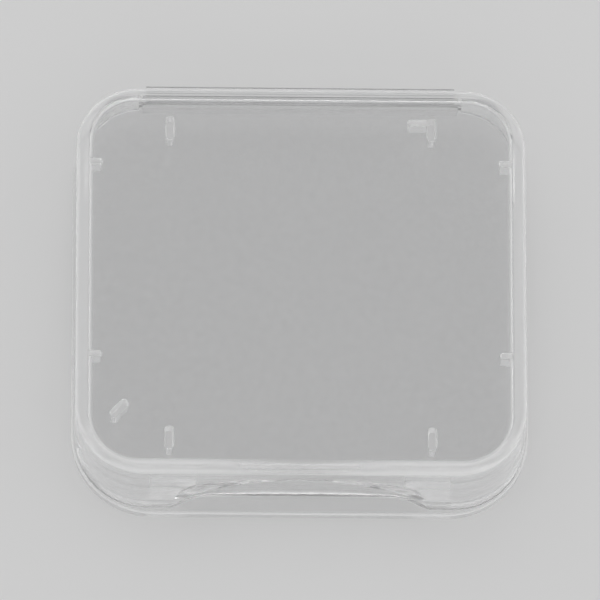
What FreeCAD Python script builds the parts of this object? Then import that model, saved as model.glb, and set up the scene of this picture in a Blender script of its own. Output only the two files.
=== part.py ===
# Clear hinged case for one full-size memory card, closed and lying on its cover.
# The card tray is above with its floor up, and the cover is below it.
# Millimetres, +Z up, the front with the thumb scoop towards -Y, the hinge towards +Y.
import FreeCAD, Part
import math
import os

# The card and the pocket that the ribs and tabs leave for it.
card_width = 32.0
card_length = 24.0
card_clearance = 0.3
card_corner_cut = 4.0

# Heights, from the cover's outer face.
case_height = 5.6
cover_thickness = 1.2
rim_gap = 0.08
floor_thickness = 1.0

# The inside of the tray: room round the pocket, at the floor and more at the rim.
side_room = 1.05
rear_room = 3.52
front_room = 3.08
side_draft = 0.29
front_slope_depth = 1.88
floor_corner = 4.1
rim_corner = 5.1

# The tray's walls, the front one thicker towards the floor.
side_wall = 0.86
rear_wall = 0.7
front_wall = 1.0
front_wall_growth = 0.35
corner_wall = 1.5
tray_edge_round = 0.4

# The cover's flange outside the tray's rim.
flange_side = 0.22
flange_front = 0.44
cover_corner = 6.7
cover_edge_round = 0.25

# The thumb scoop in the front wall.
scoop_depth = 1.09
scoop_flat = 14.8
scoop_ease = 4.4
scoop_lead = 0.15
scoop_crown_drop = 0.65
scoop_end_rise = 0.6

# The ribs that hold the card.
rib_height = 2.05
rib_thickness = 0.74
rib_length = 1.95
rib_spacing = 21.5
rib_tip_taper = 0.08
rib_root_round = 0.08
rib_tip_round = 0.22
rib_round_limit = 0.8
arm_length = 1.95
arm_thickness = 0.55
arm_set_in = 0.1
tab_thickness = 0.55
tab_rear_place = 10.34
tab_front_place = -6.17
corner_rib_length = 1.8

# The hinge film and the two edges that it joins.
hinge_length = 25.4
hinge_end_room = 0.6
film_thickness = 0.3
film_leaf_length = 0.5
film_bend = 0.2
riser_thickness = 0.9
riser_end_clearance = 0.3

# The cover's side tongues, in rebates of the tray's side walls.
tongue_length = 20.2
tongue_middle = -2.88
tongue_height = 1.1
tongue_clearance = 0.12
tongue_end_clearance = 0.35
rebate_depth = 0.46

# The cover's two catch blocks, behind the front wall beside the scoop.
catch_inner = 8.5
catch_width = 3.8
catch_height = 2.0
catch_set_in = 0.15
catch_clearance = 0.2

# Worked out from the sizes above.
pocket_x = card_width / 2 + card_clearance
pocket_y = card_length / 2 + card_clearance
rim_z = cover_thickness + rim_gap
floor_z = case_height - floor_thickness
hinge_z = case_height / 2
scoop_crown = case_height - scoop_crown_drop
scoop_end = scoop_flat / 2 + scoop_ease
inside_x = pocket_x + side_room
inside_rear = pocket_y + rear_room
inside_front = -pocket_y - front_room
rear_face = inside_rear + rear_wall
rim_x = inside_x + side_draft
rim_front = inside_front - front_slope_depth
tray_x = rim_x + side_wall
tray_front = rim_front - front_wall
cover_x = tray_x + flange_side
cover_front = tray_front - flange_front
film_inner = hinge_z + film_bend
film_reach = film_leaf_length + film_bend + film_thickness
middle_y = (cover_front + rear_face + film_reach) / 2


def at(x, y, z):
    return FreeCAD.Vector(x, y, z)


def corner_arc(centre, radius, start_deg, z):
    """Quarter circle round a corner's centre, turning left."""
    points = []
    for step in (0, 45, 90):
        angle = math.radians(start_deg + step)
        points.append(at(centre[0] + radius * math.cos(angle), centre[1] + radius * math.sin(angle), z))
    return Part.Arc(*points).toShape()


def rounded_outline(half_x, front, rear, radius, z):
    """Closed outline of a rectangle with four round corners."""
    left, right = radius - half_x, half_x - radius
    low, high = front + radius, rear - radius
    edges = [
        Part.LineSegment(at(left, front, z), at(right, front, z)).toShape(),
        corner_arc((right, low), radius, 270, z),
        Part.LineSegment(at(half_x, low, z), at(half_x, high, z)).toShape(),
        corner_arc((right, high), radius, 0, z),
        Part.LineSegment(at(right, rear, z), at(left, rear, z)).toShape(),
        corner_arc((left, high), radius, 90, z),
        Part.LineSegment(at(-half_x, high, z), at(-half_x, low, z)).toShape(),
        corner_arc((left, low), radius, 180, z),
    ]
    return Part.Wire(edges)


def drafted(lower, upper):
    """Solid between two outlines of the same make."""
    return Part.makeLoft([lower, upper], True, True)


def prism(outline, height):
    return Part.Face(outline).extrude(at(0, 0, height))


def block(x0, x1, y0, y1, z0, z1):
    return Part.makeBox(x1 - x0, y1 - y0, z1 - z0, at(x0, y0, z0))


def round_edges(shape, radius, chosen):
    return shape.makeFillet(radius, [edge for edge in shape.Edges if chosen(edge)])


def level_at(z):
    """Test for an edge that lies flat at one height."""
    return lambda edge: abs(edge.BoundBox.ZMin - z) < 1e-4 and abs(edge.BoundBox.ZMax - z) < 1e-4


def share_of_wall(z):
    """How far a height is from the rim to the floor's inside, from 0 to 1."""
    return (z - rim_z) / (floor_z - rim_z)


def wall_front(z):
    """Front of the tray's outside at one height, on the sloped wall."""
    return tray_front + (front_slope_depth - front_wall_growth) * share_of_wall(z)


def arch_at(x):
    """Point of the arch that the scoop fades out to, just ahead of the wall."""
    fall = scoop_crown - rim_z - scoop_end_rise
    z = scoop_crown - fall * (x / scoop_end) ** 2
    return at(x, wall_front(z) - scoop_lead, z)


def scoop_arch():
    """Wire of the arch, with as many edges as the scoop's foot."""
    stations = [scoop_end, scoop_end - scoop_ease / 2, scoop_flat / 2]
    stations += [-x for x in reversed(stations)]
    edges = []
    for start, end in zip(stations, stations[1:]):
        edges.append(Part.Arc(arch_at(start), arch_at((start + end) / 2), arch_at(end)).toShape())
    return closed_ahead(edges)


def closed_ahead(edges):
    """Closes a row of edges with three straight ones well ahead of the wall."""
    first = edges[0].Vertexes[0].Point
    last = edges[-1].Vertexes[-1].Point
    ahead = at(0, -scoop_depth, 0)
    corners = [last, last + ahead, first + ahead, first]
    lines = [Part.LineSegment(start, end).toShape() for start, end in zip(corners, corners[1:])]
    return Part.Wire(edges + lines)


def scoop_foot():
    """Plan of the scoop at its foot: a flat back that eases out past the wall on both sides."""
    z = cover_thickness
    lead = wall_front(z) - scoop_lead
    rise = scoop_depth + scoop_lead
    back = lead + rise
    half_flat, half_ease = scoop_flat / 2, scoop_ease / 2
    radius = (scoop_ease ** 2 + rise ** 2) / (4 * rise)
    half_sweep = math.atan2(half_ease, radius - rise / 2) / 2
    bow_x = radius * math.sin(half_sweep)
    bow_y = radius * (1 - math.cos(half_sweep))
    right = [at(scoop_end, lead, z), at(scoop_end - bow_x, lead + bow_y, z),
             at(scoop_end - half_ease, lead + rise / 2, z), at(half_flat + bow_x, back - bow_y, z),
             at(half_flat, back, z)]
    left = [at(-point.x, point.y, z) for point in reversed(right)]
    edges = [
        Part.Arc(*right[0:3]).toShape(),
        Part.Arc(*right[2:5]).toShape(),
        Part.LineSegment(right[4], left[0]).toShape(),
        Part.Arc(*left[0:3]).toShape(),
        Part.Arc(*left[2:5]).toShape(),
    ]
    return closed_ahead(edges)


def thumb_scoop(inset):
    """Space cut out of the front wall, or its inner bulge where inset is the wall's thickness."""
    scoop = drafted(scoop_foot(), scoop_arch())
    scoop.translate(at(0, inset, 0))
    return scoop


def room_inside(growth):
    """Space between the tray's walls below its floor, grown into the walls."""
    rear = inside_rear + growth
    low = rounded_outline(rim_x + growth, rim_front - growth, rear, rim_corner + growth, rim_z)
    high = rounded_outline(inside_x + growth, inside_front - growth, rear, floor_corner + growth, floor_z)
    return drafted(low, high)


def tray_inside(inset):
    """Hollow of the tray, drawn in from its walls and from the scoop's bulge."""
    return room_inside(-inset).cut(thumb_scoop(front_wall + inset))


def tray_outside():
    """Outer form of the tray: upright at the rear, drafted at the sides and sloped in front."""
    top_x = tray_x - side_draft * share_of_wall(case_height)
    top_front = wall_front(case_height)
    low = rounded_outline(tray_x, tray_front, rear_face, rim_corner + side_wall, rim_z)
    high = rounded_outline(top_x, top_front, rear_face, floor_corner + corner_wall, case_height)
    body = round_edges(drafted(low, high), tray_edge_round, level_at(case_height))
    return body.cut(thumb_scoop(0))


def rib(length, thickness):
    """Upright rib under the floor, along Y, narrower and rounder at its tip."""
    sunk = floor_thickness / 4
    half, reach = thickness / 2, length / 2
    root = rounded_outline(half, -reach, reach, rib_root_round, floor_z + sunk)
    tip_half, tip_reach = half - rib_tip_taper, reach - rib_tip_taper
    tip_round = min(rib_tip_round, tip_half * rib_round_limit)
    tip = rounded_outline(tip_half, -tip_reach, tip_reach, tip_round, floor_z - rib_height)
    return drafted(tip, root)


def placed(shape, x, y, turn_deg=0):
    shape.rotate(at(0, 0, 0), at(0, 0, 1), turn_deg)
    shape.translate(at(x, y, 0))
    return shape


def card_ribs():
    """Ribs at the card's long edges, one with an arm, and one square to its cut corner."""
    across = rib_spacing / 2
    along = pocket_y + rib_length / 2
    ribs = [placed(rib(rib_length, rib_thickness), x, y)
            for x, y in ((-across, along), (across, along), (-across, -along), (across, -along))]
    arm_x = across - arm_length / 2
    arm_y = pocket_y + rib_length - arm_thickness / 2 - arm_set_in
    ribs.append(placed(rib(arm_length, arm_thickness), arm_x, arm_y, 90))
    cut_x = (card_corner_cut - card_width) / 2
    cut_y = (card_corner_cut - card_length) / 2
    away = (card_clearance + corner_rib_length / 2) * math.sqrt(0.5)
    ribs.append(placed(rib(corner_rib_length, rib_thickness), cut_x - away, cut_y - away, -45))
    return ribs


def side_tabs():
    """Tabs from the side walls to the card's short edges."""
    length = side_room + side_wall / 2
    middle = pocket_x + length / 2
    return [placed(rib(length, tab_thickness), side * middle, y, 90)
            for side in (-1, 1) for y in (tab_rear_place, tab_front_place)]


def side_bands(half_length, low, high):
    """Two blocks that hold what lies along the side walls, from the tray's inside outwards."""
    inner = inside_x - rim_corner
    front, rear = tongue_middle - half_length, tongue_middle + half_length
    return [block(inner, cover_x, front, rear, low, high), block(-cover_x, -inner, front, rear, low, high)]


def side_rebates():
    """Steps inside the side walls' rims, for the cover's tongues."""
    half_length = tongue_length / 2 + tongue_end_clearance
    top = rim_z + tongue_height + tongue_clearance
    room = room_inside(rebate_depth)
    return [room.common(band) for band in side_bands(half_length, rim_z, top)]


def hinge_gap():
    """Cut-away of the tray's rear wall below the hinge film."""
    half = hinge_length / 2 + hinge_end_room
    front, rear = inside_rear - riser_thickness, rear_face + rear_wall
    return block(-half, half, front, rear, cover_thickness, film_inner)


def make_card_tray():
    tray = tray_outside().cut(tray_inside(0))
    tray = tray.fuse(card_ribs() + side_tabs())
    tray = tray.cut([hinge_gap()] + side_rebates())
    return tray.removeSplitter()


def side_tongues():
    """Thin tongues along the cover's sides, inside the tray's rebates."""
    room = room_inside(rebate_depth - tongue_clearance).cut(room_inside(0))
    tongues = []
    for band in side_bands(tongue_length / 2, rim_z, rim_z + tongue_height):
        tongue = room.common(band)
        foot = tongue.common(band.copy().translate(at(0, 0, rim_gap - tongue_height)))
        tongues += [tongue, foot.translate(at(0, 0, -rim_gap))]
    return tongues


def catch_blocks():
    """Two wedges on the cover that follow the inside of the tray's front wall."""
    room = tray_inside(catch_clearance)
    rear = inside_front - catch_set_in
    top = rim_z + catch_height
    blocks = []
    for start in (catch_inner, -catch_inner - catch_width):
        wedge = block(start, start + catch_width, tray_front, rear, rim_z, top).common(room)
        foot = wedge.common(block(start, start + catch_width, tray_front, rear, rim_z, rim_z + rim_gap))
        blocks += [wedge, foot.translate(at(0, 0, -rim_gap))]
    return blocks


def hinge_riser():
    """Low rear wall of the cover that carries the hinge film."""
    half = hinge_length / 2 + hinge_end_room - riser_end_clearance
    top = 2 * hinge_z - film_inner
    return block(-half, half, rear_face - riser_thickness, rear_face, cover_thickness / 2, top)


def make_cover():
    outline = rounded_outline(cover_x, cover_front, rear_face, cover_corner, 0)
    plate = round_edges(prism(outline, cover_thickness), cover_edge_round, level_at(0))
    cover = plate.fuse(side_tongues() + catch_blocks() + [hinge_riser()])
    return cover.removeSplitter()


def make_hinge_film():
    """Thin film folded over on itself behind the rear walls."""
    bend_y = rear_face + film_leaf_length
    half = hinge_length / 2

    def fold(radius):
        """Upper leaf's edge, the round bend and the lower leaf's edge of one face of the film."""
        top, low = hinge_z + radius, hinge_z - radius
        upper = Part.LineSegment(at(-half, rear_face, top), at(-half, bend_y, top)).toShape()
        round_points = [at(-half, bend_y, top), at(-half, bend_y + radius, hinge_z), at(-half, bend_y, low)]
        bend = Part.Arc(*round_points).toShape()
        lower = Part.LineSegment(at(-half, bend_y, low), at(-half, rear_face, low)).toShape()
        return [upper, bend, lower]

    outer = fold(film_bend + film_thickness)
    inner = fold(film_bend)
    ends = [Part.LineSegment(at(-half, rear_face, hinge_z + side * film_bend),
                             at(-half, rear_face, hinge_z + side * (film_bend + film_thickness))).toShape()
            for side in (-1, 1)]
    section = Part.Wire(Part.__sortEdges__(outer + inner + ends))
    return Part.Face(section).extrude(at(hinge_length, 0, 0))


def export(name, shape):
    shape.translate(at(0, -middle_y, 0))
    shape.exportStep("parts/" + name + ".step")
    box = shape.optimalBoundingBox()
    print(name, "solids", len(shape.Solids), "valid", shape.isValid(), "volume", round(shape.Volume, 2),
          "box", [round(v, 3) for v in (box.XMin, box.YMin, box.ZMin, box.XMax, box.YMax, box.ZMax)])


def main():
    os.makedirs("parts", exist_ok=True)
    export("card_tray", make_card_tray())
    export("cover", make_cover())
    export("hinge_film", make_hinge_film())
    hinge_y = rear_face + film_leaf_length + math.pi / 2 * (film_bend + film_thickness / 2)
    print("hinge axis y", round(hinge_y - middle_y, 4), "z", round(hinge_z, 4))


main()
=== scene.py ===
import math

import bmesh
import bpy
from mathutils import Matrix, Vector


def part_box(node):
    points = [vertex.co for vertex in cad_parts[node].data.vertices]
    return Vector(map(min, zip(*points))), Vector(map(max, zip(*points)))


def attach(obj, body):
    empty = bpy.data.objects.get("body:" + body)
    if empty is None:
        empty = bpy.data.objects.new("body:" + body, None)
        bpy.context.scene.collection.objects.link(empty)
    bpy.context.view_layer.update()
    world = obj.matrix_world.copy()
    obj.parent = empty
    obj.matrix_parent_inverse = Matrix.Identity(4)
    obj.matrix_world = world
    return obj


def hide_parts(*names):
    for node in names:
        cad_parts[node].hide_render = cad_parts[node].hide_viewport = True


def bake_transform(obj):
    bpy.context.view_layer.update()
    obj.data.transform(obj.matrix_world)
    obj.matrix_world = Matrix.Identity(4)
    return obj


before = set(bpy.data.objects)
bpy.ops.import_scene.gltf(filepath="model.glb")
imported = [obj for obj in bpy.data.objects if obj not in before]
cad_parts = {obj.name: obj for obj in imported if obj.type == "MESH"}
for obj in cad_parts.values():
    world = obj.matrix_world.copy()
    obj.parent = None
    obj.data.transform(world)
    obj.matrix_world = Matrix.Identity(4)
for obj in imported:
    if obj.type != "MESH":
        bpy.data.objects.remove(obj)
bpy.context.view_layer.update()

mm = 0.001
scene = bpy.context.scene


# helpers for outlines, in millimetres

def spread(start, end, count):
    return [start + (end - start) * i / (count - 1) for i in range(count)]


def between(first, second, share):
    return first + (second - first) * share


def limited(value):
    return min(max(value, 0), 1)


def softMax(a, b, blend):
    return (a + b + math.sqrt((a - b) ** 2 + blend ** 2)) / 2


def quarter(count):
    # share of a round edge that is drawn in, and share of its height, from foot to crest
    turns = [math.pi / 2 * i / count for i in range(count + 1)]
    return [(1 - math.cos(t), math.sin(t)) for t in turns]


def arcPoints(centre, radius, start, count):
    turns = [math.radians(start + 90 * i / count) for i in range(count)]
    return [(centre[0] + radius * math.cos(t), centre[1] + radius * math.sin(t)) for t in turns]


def roundedRect(halfX, front, rear, radius, steps, rearRadius=None):
    # points turn left from the front's left end; steps: along front, corner, side, rear
    alongFront, inCorner, alongSide, alongRear = steps
    rearRadius = rearRadius or radius
    frontX, rearX = halfX - radius, halfX - rearRadius
    low, high = front + radius, rear - rearRadius
    points = [(x, front) for x in spread(-frontX, frontX, alongFront + 1)[:-1]]
    points += arcPoints((frontX, low), radius, 270, inCorner)
    points += [(halfX, y) for y in spread(low, high, alongSide + 1)[:-1]]
    points += arcPoints((rearX, high), rearRadius, 0, inCorner)
    points += [(x, rear) for x in spread(rearX, -rearX, alongRear + 1)[:-1]]
    points += arcPoints((-rearX, high), rearRadius, 90, inCorner)
    points += [(-halfX, y) for y in spread(high, low, alongSide + 1)[:-1]]
    points += arcPoints((-frontX, low), radius, 180, inCorner)
    return points


def depthInside(x, y, halfX, front, rear, radius):
    # how far a point lies inside a rectangle with round corners
    across = abs(x) - (halfX - radius)
    along = max(front + radius - y, y - rear + radius)
    outside = math.hypot(max(across, 0), max(along, 0)) + min(max(across, along), 0)
    return radius - outside


# helpers for meshes, which are stored in metres

meshing = {
    "weldDistance": 1e-8,
    "flatWeight": 100,
}


def keep(name, made):
    mesh = bpy.data.meshes.new(name)
    bmesh.ops.recalc_face_normals(made, faces=made.faces)
    made.to_mesh(mesh)
    made.free()
    piece = bpy.data.objects.new(name, mesh)
    scene.collection.objects.link(piece)
    return piece


def skinLoops(made, loops, capped=True):
    rings = [[made.verts.new((x * mm, y * mm, z * mm)) for x, y, z in loop] for loop in loops]
    for low, high in zip(rings, rings[1:]):
        for i in range(len(low)):
            j = (i + 1) % len(low)
            made.faces.new((low[i], low[j], high[j], high[i]))
    if capped:
        made.faces.new(list(reversed(rings[0])))
        made.faces.new(rings[-1])
    return rings


def makeBlock(name, low, high):
    made = bmesh.new()
    bmesh.ops.create_cube(made, size=1)
    for vert in made.verts:
        vert.co = Vector([(low[k] if vert.co[k] < 0 else high[k]) * mm for k in range(3)])
    return keep(name, made)


def applySteps(piece):
    bpy.context.view_layer.update()
    shaped = bpy.data.meshes.new_from_object(piece.evaluated_get(bpy.context.evaluated_depsgraph_get()))
    piece.modifiers.clear()
    old = piece.data
    piece.data = shaped
    shaped.name = piece.name
    bpy.data.meshes.remove(old)


def combine(piece, others, way):
    # joins or cuts other meshes, then drops them
    for other in others:
        step = piece.modifiers.new("combine", "BOOLEAN")
        step.operation = way
        step.solver = "EXACT"
        step.object = other
    applySteps(piece)
    for other in others:
        bpy.data.meshes.remove(other.data)


def smoothFaces(piece, sharpest):
    made = bmesh.new()
    made.from_mesh(piece.data)
    bmesh.ops.remove_doubles(made, verts=made.verts, dist=meshing["weldDistance"])
    for face in made.faces:
        face.smooth = True
    for edge in made.edges:
        edge.smooth = len(edge.link_faces) == 2 and edge.calc_face_angle() < math.radians(sharpest)
    made.to_mesh(piece.data)
    made.free()
    flatten = piece.modifiers.new("flatFacesStayFlat", "WEIGHTED_NORMAL")
    flatten.keep_sharp = True
    flatten.weight = meshing["flatWeight"]
    applySteps(piece)


def markMilkAndHighlight(piece, milkAndHighlightAt):
    # remembers per point how white the plastic is made there, partly its milkiness and partly painted
    # highlight: 0 is plain, 1 whitest, below 0 clearer
    marks = piece.data.attributes.new("milkAndPaintedHighlight", "FLOAT", "POINT")
    for point, mark in zip(piece.data.vertices, marks.data):
        mark.value = milkAndHighlightAt(*(point.co / mm))


# clear plastic

clearPlastic = {
    "tint": (0.96, 0.962, 0.965, 1),
    "panelClearness": (0.96, 0.98),   # mottled; the rest is the milky skin
    "trayWalls": (0.7, 0.9),          # clearness from a whiter streak to a clearer one
    "coverWalls": (0.86, 0.96),
    "filmWalls": (0.93, 0.99),
    "whitestClearness": 0.4,          # where the whiteness mark is 1
    "wallTilt": (0.55, 0.95),         # how flat a face lies, from wall to panel
    "gloss": 0.06,
    "filmGloss": 0.09,
    "glossSpread": (0.7, 1.4),
    "ior": 1.49,
    "lampPass": (0.98, 0.98, 0.98, 1),  # light that each face lets through to what lies below
    "haze": 45,                       # per metre of plastic, so walls seen edge-on look whiter
    "hazeColour": (0.98, 0.99, 1, 1),
    "noiseRange": (0.3, 0.7),
    "streakScale": (70, 70, 2600),    # flow lines lie along the walls
    "streakDetail": 3,
    "streakStrength": 0.12,
    "streakHeight": 0.00002,
    "cloudScale": 1500,
    "cloudDetail": 4,
}


def addNode(tree, kind, **values):
    node = tree.nodes.new(kind)
    for name, value in values.items():
        node.inputs[name].default_value = value
    return node


def addRange(tree, source, start, end):
    # maps a value from one range to another; both ends can be linked later
    node = addNode(tree, "ShaderNodeMapRange")
    names = ("From Min", "From Max", "To Min", "To Max")
    for name, value in zip(names, (*start, *end)):
        node.inputs[name].default_value = value
    tree.links.new(source, node.inputs["Value"])
    return node


def addStreaks(tree, where):
    stretch = addNode(tree, "ShaderNodeMapping", Scale=clearPlastic["streakScale"])
    streak = addNode(tree, "ShaderNodeTexNoise", Scale=1, Detail=clearPlastic["streakDetail"])
    tree.links.new(where.outputs["Object"], stretch.inputs["Vector"])
    tree.links.new(stretch.outputs["Vector"], streak.inputs["Vector"])
    return streak.outputs["Fac"]


def addCloud(tree, where):
    cloud = addNode(tree, "ShaderNodeTexNoise", Scale=clearPlastic["cloudScale"],
                    Detail=clearPlastic["cloudDetail"])
    tree.links.new(where.outputs["Object"], cloud.inputs["Vector"])
    return cloud.outputs["Fac"]


def addClearness(tree, where, streak, cloud, wallClearness):
    # walls are whiter than the flat panels, in streaks left by the moulding, and the marks, partly painted
    # highlight, add to both
    link = tree.links.new
    wall = addRange(tree, streak, clearPlastic["noiseRange"], wallClearness)
    panel = addRange(tree, cloud, clearPlastic["noiseRange"], clearPlastic["panelClearness"])
    axes = addNode(tree, "ShaderNodeSeparateXYZ")
    flat = addNode(tree, "ShaderNodeMath")
    flat.operation = "ABSOLUTE"
    link(where.outputs["Normal"], axes.inputs[0])
    link(axes.outputs["Z"], flat.inputs[0])
    milk = addRange(tree, flat.outputs[0], clearPlastic["wallTilt"], (0, 1))
    link(wall.outputs["Result"], milk.inputs["To Min"])
    link(panel.outputs["Result"], milk.inputs["To Max"])
    # the mark lowers clearness, as milkiness and as painted highlight along some edges
    mark = addNode(tree, "ShaderNodeAttribute")
    mark.attribute_name = "milkAndPaintedHighlight"
    clearness = addRange(tree, mark.outputs["Fac"], (0, 1), (0, clearPlastic["whitestClearness"]))
    clearness.clamp = False
    link(milk.outputs["Result"], clearness.inputs["To Min"])
    return clearness.outputs["Result"]


def addPassing(tree, surface):
    # lamps and bounced light go straight through, so the floor below stays lit
    link = tree.links.new
    passing = addNode(tree, "ShaderNodeBsdfTransparent", Color=clearPlastic["lampPass"])
    path = addNode(tree, "ShaderNodeLightPath")
    either = addNode(tree, "ShaderNodeMath")
    either.operation = "MAXIMUM"
    mix = addNode(tree, "ShaderNodeMixShader")
    link(path.outputs["Is Shadow Ray"], either.inputs[0])
    link(path.outputs["Is Diffuse Ray"], either.inputs[1])
    link(either.outputs[0], mix.inputs[0])
    link(surface, mix.inputs[1])
    link(passing.outputs[0], mix.inputs[2])
    return mix.outputs[0]


def makeClearPlastic(name, wallClearness, gloss):
    made = bpy.data.materials.new(name)
    made.use_nodes = True
    tree = made.node_tree
    tree.nodes.clear()
    link = tree.links.new
    where = addNode(tree, "ShaderNodeTexCoord")
    streak = addStreaks(tree, where)
    cloud = addCloud(tree, where)
    body = addNode(tree, "ShaderNodeBsdfPrincipled", IOR=clearPlastic["ior"])
    body.inputs["Base Color"].default_value = clearPlastic["tint"]
    link(addClearness(tree, where, streak, cloud, wallClearness), body.inputs["Transmission Weight"])
    # the streaks show in the shine too, and the gloss is uneven
    bump = addNode(tree, "ShaderNodeBump", Strength=clearPlastic["streakStrength"],
                   Distance=clearPlastic["streakHeight"])
    link(streak, bump.inputs["Height"])
    link(bump.outputs["Normal"], body.inputs["Normal"])
    uneven = addRange(tree, cloud, (0, 1), [gloss * share for share in clearPlastic["glossSpread"]])
    link(uneven.outputs["Result"], body.inputs["Roughness"])
    haze = addNode(tree, "ShaderNodeVolumeScatter", Color=clearPlastic["hazeColour"],
                   Density=clearPlastic["haze"])
    out = addNode(tree, "ShaderNodeOutputMaterial")
    link(addPassing(tree, body.outputs[0]), out.inputs["Surface"])
    link(haze.outputs[0], out.inputs["Volume"])
    return made


trayPlastic = makeClearPlastic("trayPlastic", clearPlastic["trayWalls"], clearPlastic["gloss"])
coverPlastic = makeClearPlastic("coverPlastic", clearPlastic["coverWalls"], clearPlastic["gloss"])
filmPlastic = makeClearPlastic("filmPlastic", clearPlastic["filmWalls"], clearPlastic["filmGloss"])
print("stage: plastic ready")


# card tray, the deep half with its floor up

trayLow, trayHigh = [[v / mm for v in corner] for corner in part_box("card_tray")]
tray = {
    "floorThickness": 1.0,
    "sideWall": 0.86,
    "rearWall": 0.7,
    "frontWall": 1.0,
    "frontWallGrowth": 0.35,
    "sideDraft": 0.29,       # inside, from the rim to the floor's underside
    "outerDraft": 0.04,
    "frontSlope": 1.88,
    "cornerAtRim": 5.96,
    "cornerAtTop": 5.6,
    "innerCornerAtRim": 5.1,
    "innerCornerAtFloor": 4.1,
    "rearCorner": 5.05,      # the corners at the hinge are tighter
    "innerRearCornerAtRim": 4.5,
    "innerRearCornerAtFloor": 3.7,
    "topRound": 0.4,
    "topRoundSteps": 6,
    "topInsets": (0.64, 0.8, 0.95, 1.1, 1.25, 1.5),   # rings on the flat top, where the white band of milkiness and painted highlight fades
    "rimRound": 0.09,
    "rimRoundSteps": 3,
    "floorInnerRound": 0.18,
    "floorRoundSteps": 5,
    "floorInset": 0.324,     # ring on the floor's underside, inside its edge
    "steps": (150, 16, 34, 60),
    "wallLevels": 30,
    "sharpest": 32,
}
trayRim, trayTop = trayLow[2], trayHigh[2]
trayFloor = trayTop - tray["floorThickness"]

scoop = {
    "depth": 1.09,
    "flat": 14.8,
    "ease": 4.4,
    "foot": 1.2,
    "lead": 0.15,
    "crownDrop": 0.65,       # crown of the arch below the tray's top
    "endRise": 0.6,          # ends of the arch above the rim
    "creaseBlend": 0.05,
}


def wallShare(z):
    return (z - trayRim) / (trayFloor - trayRim)


def frontAt(z):
    return trayLow[1] + (tray["frontSlope"] - tray["frontWallGrowth"]) * wallShare(z)


def insideFrontAt(z):
    return trayLow[1] + tray["frontWall"] + tray["frontSlope"] * wallShare(z)


def insideHalfX(z):
    return trayHigh[0] - tray["sideWall"] - tray["sideDraft"] * wallShare(z)


def insideCorner(z, atRear=False):
    if atRear:
        return between(tray["innerRearCornerAtRim"], tray["innerRearCornerAtFloor"], wallShare(z))
    return between(tray["innerCornerAtRim"], tray["innerCornerAtFloor"], wallShare(z))


insideRear = trayHigh[1] - tray["rearWall"]
floorFront = insideFrontAt(trayFloor)


def scoopAt(x, z):
    # front face of the scoop: straight up from a foot with eased ends to an arch on the wall
    end = scoop["flat"] / 2 + scoop["ease"]
    crown = trayTop - scoop["crownDrop"]
    arch = crown - (crown - trayRim - scoop["endRise"]) * min(abs(x) / end, 1) ** 2
    u = limited((abs(x) - scoop["flat"] / 2) / scoop["ease"])
    ease = 2 * u * u if u < 0.5 else 1 - 2 * (1 - u) ** 2
    footY = frontAt(scoop["foot"]) + scoop["depth"] - (scoop["depth"] + scoop["lead"]) * ease
    archY = frontAt(arch) - scoop["lead"]
    return between(footY, archY, (z - scoop["foot"]) / (arch - scoop["foot"]))


def scoopedLoop(z, halfX, front, rear, radius, rearRadius, push):
    loop = []
    for x, y in roundedRect(halfX, front, rear, radius, tray["steps"], rearRadius):
        if y < front + radius:
            y = softMax(y, scoopAt(x, z) + push, scoop["creaseBlend"])
        loop.append((x, y, z))
    return loop


def outerLoop(z, inset=0):
    halfX = trayHigh[0] - tray["outerDraft"] * wallShare(z) - inset
    topShare = (z - trayRim) / (trayTop - trayRim)
    radius = between(tray["cornerAtRim"], tray["cornerAtTop"], topShare) - inset
    return scoopedLoop(z, halfX, frontAt(z) + inset, trayHigh[1] - inset, radius,
                       tray["rearCorner"] - inset, inset)


def innerLoop(z, inset=0):
    return scoopedLoop(z, insideHalfX(z) - inset, insideFrontAt(z) + inset, insideRear - inset,
                       insideCorner(z) - inset, insideCorner(z, True) - inset, tray["frontWall"] + inset)


def outerLoops():
    rimRound, topRound = tray["rimRound"], tray["topRound"]
    loops = []
    for drawn, height in quarter(tray["rimRoundSteps"]):
        loops.append(outerLoop(trayRim + rimRound * drawn, rimRound * (1 - height)))
    for z in spread(trayRim + rimRound, trayTop - topRound, tray["wallLevels"])[1:-1]:
        loops.append(outerLoop(z))
    for drawn, height in quarter(tray["topRoundSteps"]):
        loops.append(outerLoop(trayTop - topRound + topRound * height, topRound * drawn))
    return loops + [outerLoop(trayTop, inset) for inset in tray["topInsets"]]


def innerLoops():
    rimRound, innerRound = tray["rimRound"], tray["floorInnerRound"]
    loops = [innerLoop(trayFloor, tray["floorInset"])]
    for drawn, height in reversed(quarter(tray["floorRoundSteps"])):
        loops.append(innerLoop(trayFloor - innerRound + innerRound * height, innerRound * drawn))
    for z in spread(trayFloor - innerRound, trayRim + rimRound, tray["wallLevels"])[1:-1]:
        loops.append(innerLoop(z))
    for drawn, height in quarter(tray["rimRoundSteps"]):
        loops.append(innerLoop(trayRim + rimRound * (1 - height), -rimRound * drawn))
    return loops


def makeTrayShell():
    made = bmesh.new()
    skinLoops(made, innerLoops() + outerLoops())
    return keep("cardTray", made)


# ribs and tabs under the tray's floor

pocketY = 0.59   # middle of the card's place
ribs = {
    "height": 2.05,
    "thickness": 0.74,
    "length": 1.95,
    "spacing": 21.5,
    "armLength": 1.95,
    "armThickness": 0.55,
    "armSetIn": 0.1,
    "tabThickness": 0.55,
    "tabPlaces": (10.34, -6.17),
    "cornerLength": 1.8,
    "cardHalfX": 16.3,       # room for the card, with its clearance
    "cardHalfY": 12.3,
    "cardClearance": 0.3,
    "cornerCut": 4.0,
    "endRound": 0.34,
    "fullestRound": 0.92,    # most of the half width that an end's round takes
    "tipTaper": 0.03,
    "tipRound": 0.12,
    "rootRound": 0.05,
    "roundSteps": 4,
    "sunk": 0.3,
    "steps": (6, 6, 6, 6),
}


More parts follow.
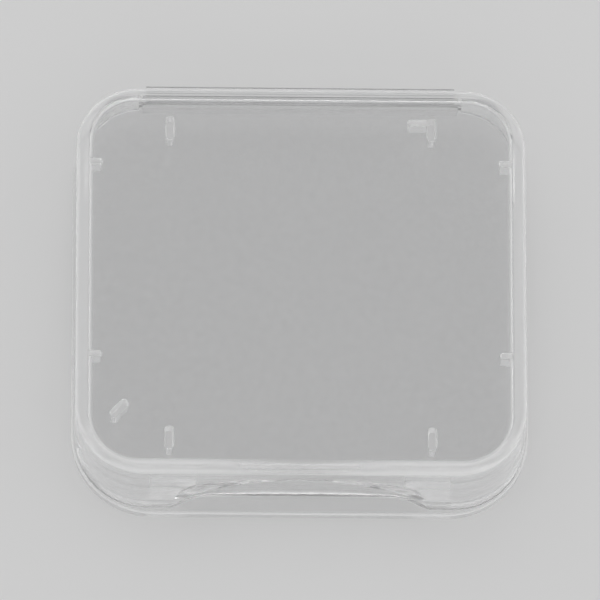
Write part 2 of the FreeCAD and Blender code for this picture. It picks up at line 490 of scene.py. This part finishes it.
def ribLevels():
    # height and growth of a rib's outline, from inside the floor to the tip
    tip = trayFloor - ribs["height"]
    rounds = quarter(ribs["roundSteps"])
    levels = [(trayFloor + ribs["sunk"], ribs["rootRound"])]
    for drawn, height in rounds:
        levels.append((trayFloor - ribs["rootRound"] * drawn, ribs["rootRound"] * (1 - height)))
    levels.append((tip + ribs["tipRound"], -ribs["tipTaper"]))
    for drawn, height in rounds[1:]:
        levels.append((tip + ribs["tipRound"] * (1 - height), -ribs["tipTaper"] - ribs["tipRound"] * drawn))
    return levels


def makeRib(length, thickness, x, y, turn):
    turned = Matrix.Rotation(math.radians(turn), 2)
    loops = []
    for z, grow in ribLevels():
        wide, long = thickness / 2 + grow, length / 2 + grow
        radius = min(ribs["endRound"], wide * ribs["fullestRound"])
        flat = roundedRect(wide, -long, long, radius, ribs["steps"])
        loops.append([(*(turned @ Vector(p) + Vector((x, y))), z) for p in flat])
    made = bmesh.new()
    skinLoops(made, loops)
    return keep("rib", made)


def makeRibs():
    across = ribs["spacing"] / 2
    along = ribs["cardHalfY"] + ribs["length"] / 2
    made = []
    for sideX in (-1, 1):
        for sideY in (-1, 1):
            x, y = sideX * across, pocketY + sideY * along
            made.append(makeRib(ribs["length"], ribs["thickness"], x, y, 0))
    armX = across - ribs["armLength"] / 2
    armY = ribs["cardHalfY"] + ribs["length"] - ribs["armThickness"] / 2 - ribs["armSetIn"]
    made.append(makeRib(ribs["armLength"], ribs["armThickness"], armX, pocketY + armY, 90))
    return made + [makeCornerRib()] + makeTabs()


def makeCornerRib():
    # stands square to the card's cut corner
    away = (ribs["cardClearance"] + ribs["cornerLength"] / 2) * math.sqrt(0.5)
    inward = ribs["cardClearance"] + ribs["cornerCut"] / 2 - away
    x, y = inward - ribs["cardHalfX"], inward - ribs["cardHalfY"]
    return makeRib(ribs["cornerLength"], ribs["thickness"], x, pocketY + y, -45)


def makeTabs():
    length = insideHalfX(trayFloor) - ribs["cardHalfX"] + tray["sideWall"] / 2
    middle = ribs["cardHalfX"] + length / 2
    return [makeRib(length, ribs["tabThickness"], side * middle, pocketY + place, 90)
            for side in (-1, 1) for place in ribs["tabPlaces"]]


# cuts in the tray for the hinge and the cover's tongues

hinge = {
    "length": 25.4,
    "endRoom": 0.6,
    "height": trayTop / 2,
    "filmThickness": 0.3,
    "bend": 0.2,
    "riserThickness": 0.9,
    "riserClearance": 0.3,
    "cutBelow": 0.1,
    "cutBehind": 0.5,
}
hingeRoom = hinge["length"] / 2 + hinge["endRoom"]

tongue = {
    "length": 20.2,
    "middle": -2.88 + pocketY,
    "height": 1.1,
    "clearance": 0.12,
    "endClearance": 0.35,
    "rebateDepth": 0.46,
    "rebateInside": 0.6,
    "rebateBelow": 0.1,
    "steps": 40,
}


def innerEdge(y, z, growth):
    # half width of the tray's inside at one place along its side
    radius = insideCorner(z) + growth
    drop = max(insideFrontAt(z) - growth + radius - y, 0)
    return insideHalfX(z) + growth - radius + math.sqrt(max(radius ** 2 - drop ** 2, 0))


def makeSideStrip(name, side, halfLength, growIn, growOut, low, high):
    corners = [(growIn, low), (growOut, low), (growOut, high), (growIn, high)]
    loops = []
    for y in spread(tongue["middle"] - halfLength, tongue["middle"] + halfLength, tongue["steps"]):
        loops.append([(side * innerEdge(y, z, grow), y, z) for grow, z in corners])
    made = bmesh.new()
    skinLoops(made, loops)
    return keep(name, made)


def makeTrayCuts():
    low = (-hingeRoom, insideRear - hinge["riserThickness"], trayRim - hinge["cutBelow"])
    high = (hingeRoom, trayHigh[1] + hinge["cutBehind"], hinge["height"] + hinge["bend"])
    cuts = [makeBlock("hingeCut", low, high)]
    top = trayRim + tongue["height"] + tongue["clearance"]
    halfLength = tongue["length"] / 2 + tongue["endClearance"]
    for side in (-1, 1):
        cuts.append(makeSideStrip("rebate", side, halfLength, -tongue["rebateInside"], tongue["rebateDepth"],
                                  trayRim - tongue["rebateBelow"], top))
    return cuts


# how white the tray is made by place, partly milkiness and partly painted highlight; the depths behind the
# front are counted from the floor's front edge

trayMilkAndHighlight = {
    "band": 0.7,             # top of the walls: milkiness seen down the walls, and painted highlight of the top round
    "bandHeight": 0.42,
    "bandBlend": 0.25,
    "line": 0.8,             # painted highlight along the inner edge of the floor
    "lineHeight": 0.189,
    "lineDepth": (-0.05, 0.216),
    "calmMiddle": 0.1,       # the painted band and line highlights fade in the middle of the front
    "calmReach": 9,
    "calmDepth": 1,
    "hinge": -0.1,
    # painted highlight along the floor's edge where it meets the hinge
    "hingeLine": 0.4,
    "hingeDepth": 0.3,
    "hingeEnds": 0.1,
    "sides": 0.3,
    "sideFade": 14,
    "front": -0.4,           # clearest in its middle
    "frontLoss": 0.7,
    "frontReach": 15,
    "frontDepth": 0.3,
    "ribs": 0.85,
    "ribDepth": 0.06,
    "ribDrop": 0.02,
    "ribFront": 0.5,
}


def trayMilkAndHighlightAt(x, y, z):
    level = min(z, trayFloor)
    behindFront = y - floorFront
    depth = depthInside(x, y, insideHalfX(level), insideFrontAt(level), insideRear,
                        insideCorner(level, y > 0))
    calm = 1
    if behindFront < trayMilkAndHighlight["calmDepth"]:
        calm = between(trayMilkAndHighlight["calmMiddle"], 1, min(abs(x) / trayMilkAndHighlight["calmReach"], 1))
    # white band on the wall tops: partly milkiness, partly painted highlight of the top round
    if z > trayTop - trayMilkAndHighlight["bandHeight"]:
        return calm * trayMilkAndHighlight["band"] * limited(0.5 - depth / trayMilkAndHighlight["bandBlend"])
    atHinge = y > insideRear - trayMilkAndHighlight["hingeDepth"] and abs(x) < hingeRoom + trayMilkAndHighlight["hingeEnds"]
    # painted highlight line along the inner edge of the floor, fainter at the hinge
    lineFrom, lineTo = trayMilkAndHighlight["lineDepth"]
    if abs(z - trayFloor) < trayMilkAndHighlight["lineHeight"] and lineFrom < depth < lineTo:
        return trayMilkAndHighlight["hingeLine"] if atHinge else calm * trayMilkAndHighlight["line"]
    if atHinge:
        return trayMilkAndHighlight["hinge"]
    if behindFront < trayMilkAndHighlight["frontDepth"]:
        return trayMilkAndHighlight["front"] * (1 - trayMilkAndHighlight["frontLoss"] * min(abs(x) / trayMilkAndHighlight["frontReach"], 1))
    if depth < -tray["sideWall"] / 2:
        return trayMilkAndHighlight["sides"] * min(behindFront / trayMilkAndHighlight["sideFade"], 1)
    belowFloor = z < trayFloor - trayMilkAndHighlight["ribDrop"]
    isRib = belowFloor and depth > trayMilkAndHighlight["ribDepth"] and behindFront > trayMilkAndHighlight["ribFront"]
    return trayMilkAndHighlight["ribs"] if isRib else 0


cardTray = makeTrayShell()
combine(cardTray, makeTrayCuts(), "DIFFERENCE")
combine(cardTray, makeRibs(), "UNION")
smoothFaces(cardTray, tray["sharpest"])
markMilkAndHighlight(cardTray, trayMilkAndHighlightAt)
cardTray.data.materials.append(trayPlastic)
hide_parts("card_tray")
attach(cardTray, "card_tray")
print("stage: card tray,", len(cardTray.data.polygons), "faces")


# cover, the flat half that the case lies on

coverLow, coverHigh = [[v / mm for v in corner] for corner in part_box("cover")]
cover = {
    "thickness": 1.2,
    "corner": 6.7,
    "footRound": 0.25,
    "footRoundSteps": 5,
    "footInsets": (0.5, 0.3),
    "topRound": 0.12,
    "topRoundSteps": 4,
    "topInsets": (0.15, 0.25, 0.5),
    "steps": (60, 16, 40, 60),
    "sharpest": 32,
}
coverSunk = cover["thickness"] / 2   # how deep its blocks reach into the plate

catches = {
    "inner": 8.5,
    "width": 3.8,
    "setIn": 0.15,
    "clearance": 0.2,
    "steps": 12,
    "levels": 10,
}


def coverLoop(z, inset):
    flat = roundedRect(coverHigh[0] - inset, coverLow[1] + inset, coverHigh[1] - inset,
                       cover["corner"] - inset, cover["steps"])
    return [(x, y, z) for x, y in flat]


def makeCoverPlate():
    foot, top = cover["footRound"], cover["topRound"]
    loops = [coverLoop(0, inset) for inset in cover["footInsets"]]
    for drawn, height in quarter(cover["footRoundSteps"]):
        loops.append(coverLoop(foot * drawn, foot * (1 - height)))
    for drawn, height in quarter(cover["topRoundSteps"]):
        loops.append(coverLoop(cover["thickness"] - top + top * height, top * drawn))
    loops += [coverLoop(cover["thickness"], inset) for inset in cover["topInsets"]]
    made = bmesh.new()
    skinLoops(made, loops)
    return keep("caseCover", made)


def catchSection(x):
    # the front follows the inside of the tray's front wall
    top = coverHigh[2]
    rear = floorFront - catches["setIn"]
    section = [(rear, coverSunk)]
    for z in spread(coverSunk, top, catches["levels"]):
        wall = max(insideFrontAt(z), scoopAt(x, z) + tray["frontWall"])
        section.append((wall + catches["clearance"], z))
    return section + [(rear, top)]


def makeCatches():
    made = []
    for side in (-1, 1):
        places = spread(catches["inner"], catches["inner"] + catches["width"], catches["steps"])
        block = bmesh.new()
        skinLoops(block, [[(side * x, y, z) for y, z in catchSection(x)] for x in places])
        made.append(keep("catch", block))
    return made


def makeTongues():
    grow = tongue["rebateDepth"] - tongue["clearance"]
    top = trayRim + tongue["height"]
    return [makeSideStrip("tongue", side, tongue["length"] / 2, 0, grow, coverSunk, top) for side in (-1, 1)]


def makeRiser():
    half = hingeRoom - hinge["riserClearance"]
    rear = coverHigh[1]
    return makeBlock("riser", (-half, rear - hinge["riserThickness"], coverSunk),
                     (half, rear, hinge["height"] - hinge["bend"]))


coverMilkAndHighlight = {
    "rim": 0.8,              # painted highlight along the front lip
    "sideRim": 0.15,
    "rimReach": 0.2,
    "lipEnd": 2,
    "lipFade": 17,
    "riser": -0.2,
    "blockFoot": 0.01,       # blocks start this far above the plate
}


def coverMilkAndHighlightAt(x, y, z):
    if z > cover["thickness"] + coverMilkAndHighlight["blockFoot"]:
        return coverMilkAndHighlight["riser"] if y > 0 else 0
    depth = depthInside(x, y, coverHigh[0], coverLow[1], coverHigh[1], cover["corner"])
    if depth >= coverMilkAndHighlight["rimReach"]:
        return 0
    # painted highlight along the cover's rim, strongest at the front lip and fainter along the sides
    lip = limited((coverMilkAndHighlight["lipEnd"] - y) / coverMilkAndHighlight["lipFade"])
    return between(coverMilkAndHighlight["sideRim"], coverMilkAndHighlight["rim"], lip)


caseCover = makeCoverPlate()
combine(caseCover, makeCatches() + makeTongues() + [makeRiser()], "UNION")
smoothFaces(caseCover, cover["sharpest"])
markMilkAndHighlight(caseCover, coverMilkAndHighlightAt)
caseCover.data.materials.append(coverPlastic)
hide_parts("cover")
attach(caseCover, "cover")
print("stage: cover,", len(caseCover.data.polygons), "faces")


# hinge film, folded behind the rear walls

filmLow, filmHigh = [[v / mm for v in corner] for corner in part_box("hinge_film")]
film = {
    "bendSteps": 20,
    "lengthSteps": 40,
    "blendFrom": 2.45,
    "blendTo": 3.15,
    "sharpest": 40,
}


def filmLine(radius):
    # one side of the folded film, from the cover's leaf round to the tray's leaf
    middle = hinge["height"]
    bendY = filmHigh[1] - hinge["bend"] - hinge["filmThickness"]
    line = [(filmLow[1], middle - radius)]
    for turn in spread(-math.pi / 2, math.pi / 2, film["bendSteps"]):
        line.append((bendY + radius * math.cos(turn), middle + radius * math.sin(turn)))
    return line + [(filmLow[1], middle + radius)]


def makeFilm():
    outside = filmLine(hinge["bend"] + hinge["filmThickness"])
    section = outside + filmLine(hinge["bend"])[::-1]
    half = hinge["length"] / 2
    places = spread(-half, half, film["lengthSteps"])
    made = bmesh.new()
    rings = skinLoops(made, [[(x, y, z) for y, z in section] for x in places], capped=False)
    # the ends are closed by strips, which stay clean when the film unfolds
    for end in (rings[0], rings[-1]):
        for i in range(len(outside) - 1):
            made.faces.new((end[i], end[i + 1], end[-2 - i], end[-1 - i]))
    return keep("hingeFilm", made)


hingeFilm = makeFilm()
smoothFaces(hingeFilm, film["sharpest"])
hingeFilm.data.materials.append(filmPlastic)
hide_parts("hinge_film")
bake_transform(hingeFilm)
print("stage: hinge film,", len(hingeFilm.data.polygons), "faces")


# floor and light, in metres

studio = {
    "floorSize": 4.0,
    "floorDrop": 0.02 * mm,
    "floorColour": (0.8, 0.8, 0.8, 1),
    "floorRoughness": 0.8,
    "skyColour": (1, 1, 1, 1),
    "skyStrength": 0.22,
    "lampSize": (0.9, 0.46),
    "lamps": [
        # name, place, watts
        ("rearLamp", (-0.12, 0.62, 0.3), 2.4),
        ("rightLamp", (0.62, 0.08, 0.26), 2.2),
        ("leftLamp", (-0.62, 0.02, 0.26), 1.8),
        ("frontLamp", (0.06, -0.62, 0.24), 2.1),
    ],
}


def makeFloor():
    half = studio["floorSize"] / 2
    mesh = bpy.data.meshes.new("paleFloor")
    corners = [(-half, -half), (half, -half), (half, half), (-half, half)]
    mesh.from_pydata([(x, y, -studio["floorDrop"]) for x, y in corners], [], [(0, 1, 2, 3)])
    floor = bpy.data.objects.new("paleFloor", mesh)
    scene.collection.objects.link(floor)
    paint = bpy.data.materials.new("paleFloorPaint")
    paint.use_nodes = True
    shader = paint.node_tree.nodes["Principled BSDF"]
    shader.inputs["Base Color"].default_value = studio["floorColour"]
    shader.inputs["Roughness"].default_value = studio["floorRoughness"]
    mesh.materials.append(paint)


def makeLamps():
    for name, place, watts in studio["lamps"]:
        lamp = bpy.data.lights.new(name, "AREA")
        lamp.shape = "RECTANGLE"
        lamp.size, lamp.size_y = studio["lampSize"]
        lamp.energy = watts
        holder = bpy.data.objects.new(name, lamp)
        holder.location = place
        holder.rotation_euler = Vector(place).to_track_quat("Z", "Y").to_euler()
        scene.collection.objects.link(holder)


def makeSky():
    sky = bpy.data.worlds.new("studioSky")
    sky.use_nodes = True
    shade = sky.node_tree.nodes["Background"]
    shade.inputs["Color"].default_value = studio["skyColour"]
    shade.inputs["Strength"].default_value = studio["skyStrength"]
    scene.world = sky


makeFloor()
makeLamps()
makeSky()
print("stage: floor and light")


# camera at the photo's angle

view = {
    "elevation": 72.516,
    "azimuth": 5.461,
    "roll": 5.694,
    "target": (0.07 * mm, 0.661 * mm, 0),
    "distance": 1.0,
    "pixelsPerMetre": 12148,
    "frameWidth": 600,
    "sensor": 36,
    "clipStart": 0.01,
}


def makeCamera():
    lift, turn, roll = (math.radians(view[name]) for name in ("elevation", "azimuth", "roll"))
    look = Vector((math.sin(turn) * math.cos(lift), math.cos(turn) * math.cos(lift), -math.sin(lift)))
    right = Vector((math.cos(turn), -math.sin(turn), 0))
    up = right.cross(look)
    across = right * math.cos(roll) + up * math.sin(roll)
    above = up * math.cos(roll) - right * math.sin(roll)
    data = bpy.data.cameras.new("photoView")
    data.sensor_width = view["sensor"]
    data.lens = view["sensor"] * view["pixelsPerMetre"] * view["distance"] / view["frameWidth"]
    data.clip_start = view["clipStart"]
    camera = bpy.data.objects.new("photoView", data)
    place = Vector(view["target"]) - look * view["distance"]
    turned = Matrix((across, above, -look)).transposed().to_4x4()
    camera.matrix_world = Matrix.Translation(place) @ turned
    scene.collection.objects.link(camera)
    scene.camera = camera


makeCamera()
scene.view_settings.view_transform = "Standard"
print("stage: camera")
